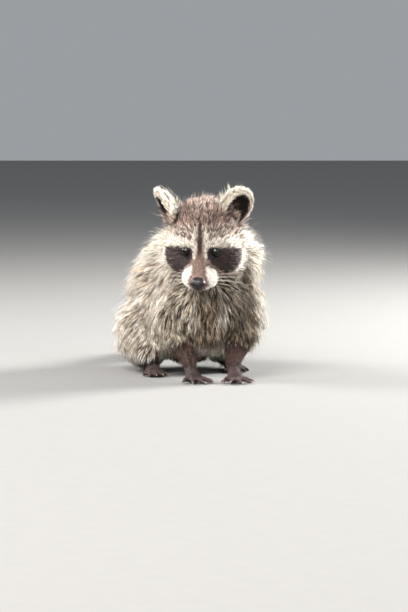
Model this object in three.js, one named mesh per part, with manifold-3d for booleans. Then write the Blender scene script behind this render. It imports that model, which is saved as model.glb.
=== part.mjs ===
// A young raccoon of about nine weeks, crouched on all fours on a flat floor, at life size.
// Each solid reaches out to the tips of the coat. Millimetres, +Z up, the raccoon faces -Y.
// "Right" and "left" are the raccoon's own: its right side lies towards -X.

import * as THREE from 'three';
import { mergeVertices } from 'three/addons/utils/BufferGeometryUtils.js';
import Module from 'manifold-3d';

const wasm = await Module();
wasm.setup();

// ---- Driving dimensions ----

const GAP = 0.35; // the cut between two pieces that meet
const RAY_STEP = 2;

const HEAD_AT = [5, -24, 158]; // middle of the braincase
const HEAD_PITCH = 35; // degrees, nose down
const HEAD_YAW = -9; // degrees, nose towards its own right
const HEAD_ROLL = 1;

const EYE_RADIUS = 6.4;
const EYE_SPACING = 35.4;
const EYE_HEIGHT = 4; // above the braincase's middle
const EYE_OUTWARD = 0.4; // how far each eye looks to its side
const EYE_PROUD = 1.5; // how far each eye stands out of the face

const EAR_LENGTH = 48;
const EAR_WIDTH = 34;
const EAR_DEPTH = 16;
const EAR_WALL = 3.8;

const FINGER_RADIUS = 2.7;
const CLAW_LENGTH = 4.5;
const TOE_RADIUS = 3.0;

const TAIL_ROUTE = [
  [-38, 182, 66],
  [-47, 212, 43],
  [-52, 240, 26],
  [-46, 276, 20],
  [-28, 312, 17],
];
const TAIL_RADII = [17, 20, 21, 19.5, 14];

const RACCOON = {
  trunk: { color: 0x8d7f70, roughness: 0.9 },
  head: { color: 0x8a7a6c, roughness: 0.9 },
  ear: { color: 0xd9cfc0, roughness: 0.9 },
  leg: { color: 0x6f6055, roughness: 0.9 },
  tail: { color: 0x7d7063, roughness: 0.9 },
  paw: { color: 0x3c312f, roughness: 0.7 },
  eye: { color: 0x0d0b0b, roughness: 0.08 },
  nose: { color: 0x1d1b1e, roughness: 0.4 },
};

// ---- Fields: a field gives the distance from a point to a surface, below zero inside ----

const vec = (p) => new THREE.Vector3(...p);

function egg(centre, radii) {
  const c = vec(centre);
  const r = vec(radii);
  const k = new THREE.Vector3();
  const slope = new THREE.Vector3();
  return (p) => {
    k.copy(p).sub(c).divide(r);
    slope.copy(k).divide(r);
    const share = k.length();
    return (share * (share - 1)) / Math.max(slope.length(), 1e-9);
  };
}

// A limb that narrows from one round end to the other.
function taper(from, fromRadius, to, toRadius) {
  const a = vec(from);
  const run = vec(to).sub(a);
  const q = new THREE.Vector3();
  return (p) => {
    q.copy(p).sub(a);
    const t = THREE.MathUtils.clamp(q.dot(run) / run.lengthSq(), 0, 1);
    return q.addScaledVector(run, -t).length() - THREE.MathUtils.lerp(fromRadius, toRadius, t);
  };
}

// Joins fields with a soft fillet, so that no crease shows between them.
function blend(fillet, ...fields) {
  return (p) =>
    fields.map((field) => field(p)).reduce((a, b) => {
      const near = Math.max(fillet - Math.abs(a - b), 0) / fillet;
      return Math.min(a, b) - (near * near * fillet) / 4;
    });
}

// ---- Solids ----

// The same surface with one vertex at each point.
function welded(geometry) {
  const bare = geometry.clone();
  bare.deleteAttribute('normal');
  bare.deleteAttribute('uv');
  return mergeVertices(bare, 1e-4);
}

function solid(geometry) {
  const merged = welded(geometry);
  const kept = [];
  const index = merged.index.array;
  for (let i = 0; i < index.length; i += 3) {
    const [a, b, c] = [index[i], index[i + 1], index[i + 2]];
    if (a !== b && b !== c && c !== a) kept.push(a, b, c);
  }
  return new wasm.Manifold(
    new wasm.Mesh({
      numProp: 3,
      vertProperties: merged.attributes.position.array,
      triVerts: new Uint32Array(kept),
    }),
  );
}

function geometryOf(made) {
  const { numProp, numVert, vertProperties, triVerts } = made.getMesh();
  const place = new Float32Array(numVert * 3);
  for (let i = 0; i < numVert; i++) {
    place.set(vertProperties.subarray(i * numProp, i * numProp + 3), i * 3);
  }
  const geometry = new THREE.BufferGeometry();
  geometry.setAttribute('position', new THREE.BufferAttribute(place, 3));
  geometry.setIndex(new THREE.BufferAttribute(triVerts, 1));
  geometry.computeVertexNormals();
  return geometry;
}

// The space that a piece's neighbours leave free: the piece, grown by the gap on every side.
function room(geometry) {
  const shell = welded(geometry);
  shell.computeVertexNormals();
  const { position, normal } = shell.attributes;
  for (let i = 0; i < position.count; i++) {
    position.setXYZ(
      i,
      position.getX(i) + normal.getX(i) * GAP,
      position.getY(i) + normal.getY(i) * GAP,
      position.getZ(i) + normal.getZ(i) * GAP,
    );
  }
  return solid(shell);
}

// Where a ray that starts inside a field leaves it.
function surfacePoint(field, from, ray) {
  const at = new THREE.Vector3();
  const depthAt = (distance) => field(at.copy(from).addScaledVector(ray, distance));
  let inside = 0;
  let outside = RAY_STEP;
  while (depthAt(outside) < 0) {
    inside = outside;
    outside += RAY_STEP;
  }
  for (let halving = 0; halving < 16; halving++) {
    const middle = (inside + outside) / 2;
    if (depthAt(middle) < 0) inside = middle;
    else outside = middle;
  }
  return at.copy(from).addScaledVector(ray, inside);
}

// Shrinks a capsule's skin onto a field. Its rays leave a straight or bent axis inside the field.
function wrap(field, route, { around, along = 1, cap, upright = [0, 0, 1] }) {
  const axis = new THREE.CatmullRomCurve3(route.map(vec));
  const capsule = new THREE.CapsuleGeometry(1, 1, cap, around, along);
  const place = capsule.attributes.position;
  const row = around + 1;
  const rows = place.count / row;
  const local = new THREE.Vector3();

  for (let i = 0; i < place.count; i++) {
    const column = i % row;
    const onPole = i < row || i >= (rows - 1) * row;
    if (column > 0 && (onPole || column === around)) {
      const twin = i - column;
      place.setXYZ(i, place.getX(twin), place.getY(twin), place.getZ(twin));
      continue;
    }
    local.fromBufferAttribute(place, i);
    const t = THREE.MathUtils.clamp(local.y + 0.5, 0, 1);
    const from = axis.getPoint(t);
    const ahead = axis.getTangent(t);
    const up = vec(upright).projectOnPlane(ahead).normalize();
    const side = new THREE.Vector3().crossVectors(ahead, up);
    const ray = side
      .multiplyScalar(local.x)
      .addScaledVector(ahead, local.y + 0.5 - t)
      .addScaledVector(up, local.z)
      .normalize();
    const at = surfacePoint(field, from, ray);
    place.setXYZ(i, at.x, at.y, at.z);
  }
  return capsule;
}

// A block that fills the side of a plane to which its normal points.
function halfSpace(point, normal, gap = GAP / 2) {
  const size = 900;
  const n = vec(normal).normalize();
  const block = new THREE.BoxGeometry(size, size, size).translate(0, 0, size / 2 + gap);
  const turn = new THREE.Quaternion().setFromUnitVectors(vec([0, 0, 1]), n);
  return solid(block.applyQuaternion(turn).translate(...point));
}

const turned = (normal) => normal.map((x) => -x);
const FLOOR = halfSpace([0, 0, 0], [0, 0, 1], 0);

// ---- Head, in its own frame: the braincase's middle is the origin, the nose points to -Y ----

const skull = blend(
  9,
  egg([0, 5, 6], [38, 39, 38]),
  egg([-26, 3, -12], [22, 25, 22]), // cheek ruffs
  egg([26, 3, -12], [22, 25, 22]),
  egg([-21, -15, -15], [22, 20, 20]), // cheeks
  egg([21, -15, -15], [22, 20, 20]),
  taper([0, -22, -9], 20, [0, -57, -14], 10), // muzzle
  taper([0, -12, -24], 15, [0, -50, -22], 7), // lower jaw
);
const face = blend(
  4,
  skull,
  egg([-9.5, -46, -16], [11, 15, 10]), // whisker pads
  egg([9.5, -46, -16], [11, 15, 10]),
);
const HEAD_AXIS = [[0, 6, -4], [0, -34, -11]];
const HEAD_MESH = { around: 28, along: 4, cap: 7 };

// An eyeball sinks into the face until only its front stands out.
function eyeball(side) {
  const look = new THREE.Vector3(side * EYE_OUTWARD, -1, 0).normalize();
  const deep = new THREE.Vector3((side * EYE_SPACING) / 2, -10, EYE_HEIGHT);
  const at = surfacePoint(face, deep, vec([0, -1, 0])).addScaledVector(look, EYE_PROUD - EYE_RADIUS);
  const ball = new THREE.SphereGeometry(EYE_RADIUS, 10, 8);
  ball.applyQuaternion(new THREE.Quaternion().setFromUnitVectors(vec([0, 1, 0]), look));
  return ball.translate(...at.toArray());
}

const nosePad = blend(3, egg([0, -62.5, -11], [8.4, 6.5, 6]), egg([0, -61.5, -16], [4.5, 5, 5]));
const NOSE_AXIS = [[0, -61, -11], [0, -64, -12]];
const NOSE_MESH = { around: 12, cap: 3 };

// An ear is a cupped, rounded leaf. `towards` runs from its root to its tip, `facing` is where it opens.
function ear(root, towards, facing) {
  const up = vec(towards).normalize();
  const out = vec(facing).normalize();
  out.addScaledVector(up, -out.dot(up)).normalize();
  const side = new THREE.Vector3().crossVectors(out, up);
  const frame = new THREE.Matrix4().makeBasis(side, out, up).setPosition(vec(root));

  const leaf = (width, depth, length, forward, raised) =>
    new THREE.SphereGeometry(1, 13, 8)
      .rotateX(Math.PI / 2)
      .scale(width / 2, depth / 2, length / 2)
      .translate(0, forward, raised);
  const outer = leaf(EAR_WIDTH, EAR_DEPTH, EAR_LENGTH, 0, EAR_LENGTH * 0.45);
  const cup = leaf(
    EAR_WIDTH - 2 * EAR_WALL,
    EAR_DEPTH,
    EAR_LENGTH - 2.4 * EAR_WALL,
    EAR_WALL * 1.25,
    EAR_LENGTH * 0.47,
  );
  return solid(outer.applyMatrix4(frame)).subtract(solid(cup.applyMatrix4(frame)));
}

const headSkin = wrap(face, HEAD_AXIS, HEAD_MESH);
const noseSkin = wrap(nosePad, NOSE_AXIS, NOSE_MESH);
const EAR_ROOTS = {
  right: { root: [-33, 9, 12], towards: [-12.5, 4, 34], facing: [-0.82, -0.55, 0.02] },
  left: { root: [28, 9, 15], towards: [13.5, 5, 33], facing: [0.45, -0.72, 0.42] },
};

const headGroup = new THREE.Group();
headGroup.position.set(...HEAD_AT);
headGroup.rotation.set(
  THREE.MathUtils.degToRad(HEAD_PITCH),
  THREE.MathUtils.degToRad(HEAD_ROLL),
  THREE.MathUtils.degToRad(HEAD_YAW),
  'ZXY',
);
headGroup.updateMatrixWorld(true);
const headRoomInPlace = room(headSkin.clone().applyMatrix4(headGroup.matrix));

// ---- Trunk and neck: one blended body, parted where the neck rises from the shoulders ----

const torso = blend(
  16,
  egg([-28, 142, 78], [55, 54, 66]), // rump
  egg([-16, 96, 87], [61, 62, 79]), // loins and belly
  egg([11, 46, 96], [56, 52, 68]), // rib cage and shoulders
  egg([9, 8, 86], [40, 32, 48]), // breast
  egg([15, 20, 134], [54, 40, 42]), // neck ruff
  taper([0, 72, 116], 46, [9, 14, 138], 38), // nape
  taper([6, 26, 130], 40, [6, -8, 152], 32), // neck
);
const NECK_AT = [8, 20, 130];
const NECK_TO_HEAD = [0.05, -0.66, 0.75];
const TORSO_AXIS = [[-26, 140, 76], [-14, 96, 86], [4, 46, 96], [9, 10, 104]];
const torsoWhole = solid(wrap(torso, TORSO_AXIS, { around: 22, along: 9, cap: 6 }));

// ---- Legs: each is one bent limb that lies in a pocket of the trunk ----

const LEGS = {
  right_foreleg: {
    field: blend(
      10,
      egg([-24, 30, 88], [24, 28, 36]),
      taper([-27, 24, 70], 22, [-22, 14, 50], 18),
      taper([-21, 12, 46], 15, [-11, -12, 19], 8.5),
    ),
    axis: [[-25, 29, 92], [-25, 21, 62], [-19, 8, 40], [-12, -9, 22]],
    mesh: { around: 12, along: 7, cap: 3, upright: [0, 1, 0] },
  },
  left_foreleg: {
    field: blend(
      10,
      egg([45, 30, 88], [24, 28, 36]),
      taper([48, 24, 68], 22, [45, 14, 50], 18),
      taper([42, 12, 46], 15, [36, -12, 19], 8.5),
    ),
    axis: [[45, 29, 92], [47, 21, 62], [41, 8, 40], [36.5, -9, 22]],
    mesh: { around: 12, along: 7, cap: 3, upright: [0, 1, 0] },
  },
  right_hind_leg: {
    field: blend(
      12,
      egg([-60, 98, 48], [34, 46, 46]),
      taper([-58, 56, 30], 17, [-60, 82, 17], 10),
    ),
    axis: [[-59, 106, 50], [-58, 80, 38]],
    mesh: { around: 13, along: 2, cap: 4 },
  },
  left_hind_leg: {
    field: blend(
      12,
      egg([24, 126, 50], [33, 45, 44]),
      taper([30, 92, 30], 17, [32, 120, 17], 10),
    ),
    axis: [[24, 134, 50], [28, 108, 38]],
    mesh: { around: 13, along: 2, cap: 4 },
  },
};

const legSolids = {};
const legRooms = [];
for (const [name, { field, axis, mesh }] of Object.entries(LEGS)) {
  const skin = wrap(field, axis, mesh);
  legSolids[name] = solid(skin).intersect(FLOOR);
  legRooms.push(room(skin));
}

// ---- Tail: one bent brush in three lengths ----

const tailField = blend(
  14,
  ...TAIL_ROUTE.slice(1).map((point, i) =>
    taper(TAIL_ROUTE[i], TAIL_RADII[i], point, TAIL_RADII[i + 1]),
  ),
);
const tailSkin = wrap(tailField, TAIL_ROUTE, { around: 12, along: 12, cap: 3 });
const tailWhole = solid(tailSkin).intersect(FLOOR);
const TAIL_CUTS = [
  { point: [-51.5, 236, 28], normal: [-0.1, 0.88, -0.45] },
  { point: [-45, 279, 20], normal: [0.3, 0.95, -0.05] },
];
const [nearCut, farCut] = TAIL_CUTS;
const tailSolids = {
  tail_base: tailWhole.intersect(halfSpace(nearCut.point, turned(nearCut.normal))),
  tail_middle: tailWhole
    .intersect(halfSpace(nearCut.point, nearCut.normal))
    .intersect(halfSpace(farCut.point, turned(farCut.normal))),
  tail_tip: tailWhole.intersect(halfSpace(farCut.point, farCut.normal)),
};

// ---- Paws: a flat palm or sole, five digits that fan out, and a claw on each ----

// A digit leaves `root`, arches to its knuckle and comes down to the floor, then its claw.
function digit(root, bearing, length, radius, arch) {
  const angle = THREE.MathUtils.degToRad(bearing);
  const ahead = new THREE.Vector3(Math.sin(angle), -Math.cos(angle), 0);
  const start = vec(root);
  const knuckle = start.clone().addScaledVector(ahead, length * 0.5);
  knuckle.z = radius * 0.92 + arch;
  const tip = start.clone().addScaledVector(ahead, length);
  tip.z = radius * 0.9;
  const toe = blend(
    2,
    taper(start.toArray(), radius * 1.15, knuckle.toArray(), radius),
    taper(knuckle.toArray(), radius, tip.toArray(), radius * 0.9),
  );
  const axis = [start, knuckle, tip].map((p) => p.toArray());
  const skin = wrap(toe, axis, { around: 5, along: 2, cap: 2 });
  const claw = new THREE.ConeGeometry(radius * 0.5, CLAW_LENGTH + radius, 4)
    .rotateX(Math.PI + 0.2)
    .rotateZ(angle)
    .translate(...tip.clone().addScaledVector(ahead, CLAW_LENGTH / 2).toArray())
    .translate(0, 0, radius * 0.3);
  return solid(skin).add(solid(claw));
}

// The palm with its digits, and the room that the leg above leaves for the palm.
function paw(palm, palmAxis, mesh, digits) {
  const skin = wrap(palm, palmAxis, mesh);
  let whole = solid(skin);
  for (const each of digits) whole = whole.add(digit(...each));
  return { shape: whole.intersect(FLOOR), palmRoom: room(skin) };
}

// A forepaw: `wrist` is where the forearm ends over the palm, `bearing` where the middle finger points.
function forepaw(wrist, bearing) {
  const [x, y] = wrist;
  const angle = THREE.MathUtils.degToRad(bearing);
  const along = (distance, sideways, z) => [
    x + distance * Math.sin(angle) + sideways * Math.cos(angle),
    y - distance * Math.cos(angle) + sideways * Math.sin(angle),
    z,
  ];
  const palm = blend(
    5,
    taper(along(0, 0, 14), 7, along(6, 0, 8), 7),
    taper(along(9, -4.5, 5), 5.5, along(9, 4.5, 5), 5.5),
  );
  const fingers = [
    [-2.6, 6, -50, 13],
    [-1.5, 10.5, -24, 19],
    [0, 12, 0, 21],
    [1.5, 10.5, 24, 19],
    [2.6, 6, 50, 14],
  ];
  const digits = fingers.map(([slot, distance, splay, length]) => [
    along(distance, slot * 2.3, 4),
    bearing + splay,
    length,
    FINGER_RADIUS,
    2.2,
  ]);
  const axis = [along(0, 0, 12), along(7, 0, 6)];
  return paw(palm, axis, { around: 9, along: 1, cap: 2 }, digits);
}

// A hind foot: flat from `heel` to toes, `bearing` is where the middle toe points.
function hindFoot(heel, bearing) {
  const [x, y] = heel;
  const angle = THREE.MathUtils.degToRad(bearing);
  const along = (distance, sideways, z) => [
    x + distance * Math.sin(angle) + sideways * Math.cos(angle),
    y - distance * Math.cos(angle) + sideways * Math.sin(angle),
    z,
  ];
  const sole = blend(
    6,
    taper(along(0, 0, 6.5), 7, along(34, 0, 6), 7.5),
    taper(along(36, -5, 5), 5.5, along(36, 5, 5), 5.5),
  );
  const toes = [
    [-2.6, 34, -30, 11],
    [-1.5, 38.5, -13, 14],
    [0, 40, 0, 15],
    [1.5, 38.5, 13, 14],
    [2.6, 34, 30, 11],
  ];
  const digits = toes.map(([slot, distance, splay, length]) => [
    along(distance, slot * 2.7, 4),
    bearing + splay,
    length,
    TOE_RADIUS,
    1.6,
  ]);
  const axis = [along(2, 0, 6), along(33, 0, 6)];
  return paw(sole, axis, { around: 9, along: 2, cap: 2 }, digits);
}

const PAWS = {
  right_foreleg: ['right_forepaw', forepaw([-11, -15], 28)],
  left_foreleg: ['left_forepaw', forepaw([36, -15], 16)],
  right_hind_leg: ['right_hind_foot', hindFoot([-58, 80], 10)],
  left_hind_leg: ['left_hind_foot', hindFoot([32, 120], 12)],
};

// ---- Assembly ----

const body = new THREE.Group();
const largest = (shape) => shape.decompose().sort((a, b) => b.volume() - a.volume())[0];

function add(group, name, shape, finish) {
  const material = new THREE.MeshStandardMaterial({ ...finish, metalness: 0 });
  const mesh = new THREE.Mesh(shape.isBufferGeometry ? shape : geometryOf(shape), material);
  mesh.name = name;
  group.add(mesh);
}

let headCut = solid(headSkin).subtract(room(noseSkin));
for (const [name, side] of [['right', -1], ['left', 1]]) {
  const { root, towards, facing } = EAR_ROOTS[name];
  const leaf = largest(ear(root, towards, facing).subtract(room(headSkin)));
  headCut = headCut.subtract(room(eyeball(side)));
  add(headGroup, `${name}_ear`, leaf, RACCOON.ear);
  add(headGroup, `${name}_eye`, solid(eyeball(side)), RACCOON.eye);
}
add(headGroup, 'head', headCut, RACCOON.head);
add(headGroup, 'nose', solid(noseSkin), RACCOON.nose);
body.add(headGroup);

let neck = torsoWhole.intersect(halfSpace(NECK_AT, NECK_TO_HEAD)).subtract(headRoomInPlace);
let trunk = torsoWhole.intersect(halfSpace(NECK_AT, turned(NECK_TO_HEAD))).subtract(headRoomInPlace);
for (const legRoom of legRooms) {
  neck = neck.subtract(legRoom);
  trunk = trunk.subtract(legRoom);
}
trunk = trunk.subtract(room(tailSkin));
add(body, 'neck', largest(neck), RACCOON.trunk);
add(body, 'trunk', largest(trunk), RACCOON.trunk);

for (const [name, leg] of Object.entries(legSolids)) {
  const [pawName, { shape, palmRoom }] = PAWS[name];
  add(body, name, largest(leg.subtract(palmRoom)), RACCOON.leg);
  add(body, pawName, shape, RACCOON.paw);
}
for (const [name, length] of Object.entries(tailSolids)) add(body, name, length, RACCOON.tail);

// The origin is on the floor, under the middle of the model's box.
const box = new THREE.Box3().setFromObject(body, true);
const middle = box.getCenter(new THREE.Vector3());
body.position.set(-middle.x, -middle.y, 0);

const raccoon = new THREE.Group();
raccoon.add(body);

export default raccoon;
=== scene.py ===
# A young raccoon, crouched on all fours on a studio floor, finished over its fixed frame with
# one skin, a coat of modelled hair, eyes, nose leather, claws and whiskers.
# Metres, +Z up, it faces -Y. "Right" and "left" are its own: its right lies towards -X.
import math

import bpy
import numpy as np
from mathutils import Matrix, Vector, kdtree


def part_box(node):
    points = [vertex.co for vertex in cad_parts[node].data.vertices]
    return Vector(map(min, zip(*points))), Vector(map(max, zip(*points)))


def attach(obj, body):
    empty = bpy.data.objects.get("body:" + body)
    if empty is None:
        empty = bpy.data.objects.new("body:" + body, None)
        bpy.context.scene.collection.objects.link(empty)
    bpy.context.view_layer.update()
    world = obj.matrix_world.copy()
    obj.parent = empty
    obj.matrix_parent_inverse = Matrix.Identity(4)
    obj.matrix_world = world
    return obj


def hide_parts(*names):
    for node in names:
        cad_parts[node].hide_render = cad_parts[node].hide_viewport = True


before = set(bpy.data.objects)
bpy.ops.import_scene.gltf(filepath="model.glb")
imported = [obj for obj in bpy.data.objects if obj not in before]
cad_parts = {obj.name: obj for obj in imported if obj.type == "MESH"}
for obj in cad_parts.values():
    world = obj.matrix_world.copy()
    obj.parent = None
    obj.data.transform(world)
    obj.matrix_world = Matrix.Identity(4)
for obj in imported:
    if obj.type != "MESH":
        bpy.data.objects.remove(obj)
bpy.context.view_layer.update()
MM = 0.001

# ---- Camera ----
# A long lens 3 m off, a little above the animal's own height and aimed at its breast: far enough
# that head and haunches keep their true proportions.
CAMERA_DISTANCE = 3.0
CAMERA_ELEVATION = math.radians(5)
FRAME_ROWS, ROW_SPAN = 612, 1.1 * MM  # rows of pixels, and what each takes in at the animal
SENSOR = 36.0
CAMERA_AIM = Vector((15.9, -127.1, 82.5)) * MM

back_from_aim = Vector((0, -math.cos(CAMERA_ELEVATION), math.sin(CAMERA_ELEVATION)))
bpy.ops.object.camera_add(
    location=CAMERA_AIM + CAMERA_DISTANCE * back_from_aim,
    rotation=(math.pi / 2 - CAMERA_ELEVATION, 0, 0),
)
camera = bpy.context.object
camera.name = "camera"
camera.data.sensor_width = SENSOR
camera.data.lens = SENSOR * CAMERA_DISTANCE / (FRAME_ROWS * ROW_SPAN)
bpy.context.scene.camera = camera

# ---- Map of the coat ----
# How the hair grows on each part of the animal, as a furrier would map it on the hide: which way
# it lies, how long it is, and how far its tips stand off the skin. Each tuft belongs to the
# piece of coat whose place is nearest, and between the places the growth changes evenly.
HEAD_MIDDLE = np.array((16.5, -149.6, 158.0))  # of the braincase, in mm
HEAD_PITCH, HEAD_ROLL, HEAD_YAW = math.radians(35), math.radians(1), math.radians(-9)
HEAD_TURN = np.array(
    Matrix.Rotation(HEAD_YAW, 3, "Z")
    @ Matrix.Rotation(HEAD_PITCH, 3, "X")
    @ Matrix.Rotation(HEAD_ROLL, 3, "Y")
)
# Places on the head are in its own frame: mm from its middle, +X its left, nose towards -Y.
# Those with x above 0 stand for both sides.
HEAD_COAT = {
    "coat_muzzle": [  # place, lie, length, depth
        ((0, -59, -2), (0, 1, 0.4), 2.2, 0.7),
        ((0, -48, 2), (0, 1, 0.5), 3.2, 1.1),
        ((0, -38, 9), (0, 0.6, 1), 4.5, 1.5),
        ((11, -56, -12), (0.5, 1, 0), 3, 1),
        ((16, -46, -12), (0.8, 1, -0.1), 4.5, 1.6),
        ((0, -54, -26), (0, 1, -0.4), 3.5, 1.2),
        ((15, -39, -4), (0.7, 0.8, -0.2), 4, 1.3),
        ((10, -36, 5), (0.1, 0.5, 1), 3, 1),
    ],
    "coat_mask": [
        ((24, -30, 3), (1, 0.7, 0.1), 4, 1.2),
        ((28, -27, -3), (1, 0.7, -0.1), 6, 2.6),
        ((38, -18, -7), (1, 0.9, -0.2), 9, 4.2),
        ((28, -29, -17), (0.9, 0.8, -0.4), 8, 3.5),
    ],
    "coat_brow": [
        ((14, -32, 15), (0.4, 0.4, 0.9), 5.5, 2),
        ((30, -21, 11), (0.9, 0.7, 0.4), 8, 3.2),
        ((0, -28, 25), (0, 0.5, 1), 6, 2.5),
        ((20, -18, 27), (0.4, 0.6, 0.9), 8, 3.5),
    ],
    "coat_crown": [
        ((0, -8, 42), (0, 0.8, 0.7), 10, 5),
        ((22, -3, 38), (0.3, 0.8, 0.7), 10, 5),
        ((0, 28, 37), (0, 1, 0.1), 14, 8),
        ((30, 16, 24), (0.5, 1, 0.2), 12, 6.5),
        ((25, 4, 35), (0.5, 0.3, 1), 13, 8),
    ],
    "coat_cheeks": [
        ((42, -3, -2), (1, 0.8, -0.1), 19, 7.5),
        ((46, 4, -16), (0.9, 0.6, -0.7), 26, 10),
        ((40, 14, 4), (1, 0.9, -0.2), 22, 8),
        ((30, -21, -30), (0.8, 0.6, -0.9), 16, 5.5),
        ((14, -30, -37), (0.2, 0.8, -1), 11, 4),
        ((0, -5, -43), (0, 0.7, -1), 20, 9),
    ],
}
# On the body, in the shared frame, in mm.
BODY_COAT = {
    "coat_breast": [
        ((20, -150, 100), (0, -0.1, -1), 24, 12),
        ((20, -146, 70), (0, 0, -1), 27, 12),
        ((22, -122, 46), (0, 0.2, -1), 17, 9),
    ],
    "coat_neck": [
        ((-22, -128, 118), (-0.6, 0, -1), 24, 13),
        ((66, -128, 118), (0.6, 0, -1), 24, 13),
        ((-20, -90, 160), (-0.6, 0.8, -0.3), 24, 13),
        ((60, -95, 160), (0.6, 0.8, -0.3), 24, 13),
    ],
    "coat_shoulders": [
        ((-36, -100, 92), (-0.2, -0.1, -1), 26, 13),
        ((76, -98, 92), (0.35, -0.1, -1), 26, 12),
        ((-16, -116, 66), (0.1, -0.2, -1), 24, 9),
        ((56, -116, 66), (0.1, -0.2, -1), 24, 9),
    ],
    "coat_back": [
        ((14, -85, 172), (0, 1, -0.1), 22, 12),
        ((6, -35, 168), (0, 1, -0.1), 26, 13),
        ((-8, 20, 160), (0, 1, -0.3), 27, 14),
        ((-20, 70, 110), (0, 0.6, -0.8), 27, 13),
    ],
    "coat_right_side": [
        ((-68, -25, 100), (-0.7, 0.5, -0.6), 27, 14),
        ((-66, 30, 90), (-0.4, 0.7, -0.7), 26, 13),
        ((-50, -60, 130), (-0.7, 0.6, -0.5), 26, 13),
        ((-80, -25, 55), (-0.6, 0.1, -1), 25, 13),
        ((-70, -62, 40), (-0.5, -0.3, -1), 20, 10),
    ],
    "coat_left_side": [
        ((62, -30, 100), (0.6, 0.6, -0.7), 27, 14),
        ((34, 40, 90), (0.4, 0.7, -0.7), 26, 13),
        ((66, -60, 130), (0.6, 0.6, -0.5), 26, 13),
        ((66, 5, 55), (0.5, 0.2, -1), 25, 13),
        ((42, -35, 36), (0.2, -0.3, -1), 20, 9),
    ],
    "coat_belly": [
        ((0, -60, 14), (0, 0.9, -0.4), 16, 6),
        ((-6, 20, 14), (0, 0.9, -0.4), 16, 6),
    ],
    "coat_legs": [
        ((-10, -120, 56), (0, -0.4, -1), 15, 6),
        ((50, -120, 56), (0, -0.4, -1), 15, 6),
        ((-6, -126, 40), (0, -0.4, -1), 8, 2.6),
        ((50, -126, 40), (0, -0.4, -1), 8, 2.6),
        ((-3, -132, 30), (0, -0.4, -1), 6, 2),
        ((49, -132, 30), (0, -0.4, -1), 6, 2),
        ((-2, -136, 24), (0.2, -0.7, -0.9), 5, 1.6),
        ((48, -136, 24), (0.1, -0.7, -0.9), 5, 1.6),
        ((-50, -46, 16), (0, -0.5, -1), 10, 4),
        ((42, -5, 16), (0.1, -0.5, -1), 10, 4),
    ],
    "coat_paws": [
        ((5, -148, 8), (0.45, -0.9, -0.2), 3.0, 0.4),
        ((52, -149, 8), (0.27, -0.95, -0.2), 3.0, 0.4),
        ((-45, -65, 7), (0.17, -0.98, -0.2), 3.2, 0.5),
        ((45, -28, 7), (0.2, -0.98, -0.2), 3.2, 0.5),
    ],
}
TAIL_ROUTE = np.array(((-26, 56, 66), (-35, 86, 43), (-40, 114, 26), (-34, 150, 20), (-16, 186, 17)), float)
TAIL_RADIUS = 19
TAIL_GROWTH = (20, 11.5)  # length and depth
# Each ear: root, the way it points, and the way its cup opens, in the head's frame.
EARS = {
    "right_ear": ((-33, 9, 12), (-12.5, 4, 34), (-0.82, -0.55, 0.02)),
    "left_ear": ((28, 9, 15), (13.5, 5, 33), (0.45, -0.72, 0.42)),
}
EAR_HALF_WIDE, EAR_HALF_HIGH, EAR_MIDDLE = 17, 24, 21.6  # its oval, and how far up its middle is
EAR_GROWTH = [(8, 7, 1.3), (22, 5.5, 0.9), (36, 5.5, 0.9), (46, 6, 0.9)]  # height, length, depth


def unit(ways):
    ways = np.asarray(ways, float)
    return ways / np.maximum(np.linalg.norm(ways, axis=-1, keepdims=True), 1e-12)


def from_head(places):
    """Places in the head's frame, in mm, as places in the shared frame, in metres."""
    return (np.asarray(places, float) @ HEAD_TURN.T + HEAD_MIDDLE) * MM


def to_head(points):
    return (np.asarray(points) / MM - HEAD_MIDDLE) @ HEAD_TURN


def mapped_coat():
    """Every place of the map in metres: piece names, places, lies, and lengths with depths."""
    rows = []
    for piece, growths in HEAD_COAT.items():
        for (x, y, z), (a, b, c), length, depth in growths:
            for side in (1, -1) if x else (1,):
                lie = HEAD_TURN @ np.array((side * a, b, c), float)
                rows.append((piece, from_head((side * x, y, z)), lie, length, depth))
    for root, towards, _ in EARS.values():
        for height, length, depth in EAR_GROWTH:
            at = from_head(np.array(root) + height * unit(towards))
            rows.append(("coat_ears", at, HEAD_TURN @ np.array(towards, float), length, depth))
    for piece, growths in BODY_COAT.items():
        for place, lie, length, depth in growths:
            rows.append((piece, np.array(place) * MM, np.array(lie, float), length, depth))
    for here, there in zip(TAIL_ROUTE, TAIL_ROUTE[1:]):
        for out in ((1, 0, 0), (-1, 0, 0), (0, 0, 1)):
            at = ((here + there) / 2 + np.array(out) * TAIL_RADIUS) * MM
            rows.append(("coat_tail", at, there - here, *TAIL_GROWTH))
    names, places, lies, lengths, depths = zip(*rows)
    return np.array(names), np.array(places), unit(lies), np.array((lengths, depths)).T * MM


COAT_PIECES, COAT_PLACES, COAT_LIES, COAT_SIZES = mapped_coat()
OWN_GROWTH = {
    "coat_ears": ("right_ear", "left_ear"),
    "coat_paws": ("right_forepaw", "left_forepaw", "right_hind_foot", "left_hind_foot"),
    "coat_tail": ("tail_base", "tail_middle", "tail_tip"),
}
COAT_EASE = 5 * MM  # closer than this to a place, the place alone decides


def away_from(points, places):
    """Distance of every point from every place."""
    squares = (points**2).sum(1)[:, None] + (places**2).sum(1)[None] - 2 * points @ places.T
    return np.sqrt(np.maximum(squares, 0))


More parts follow.
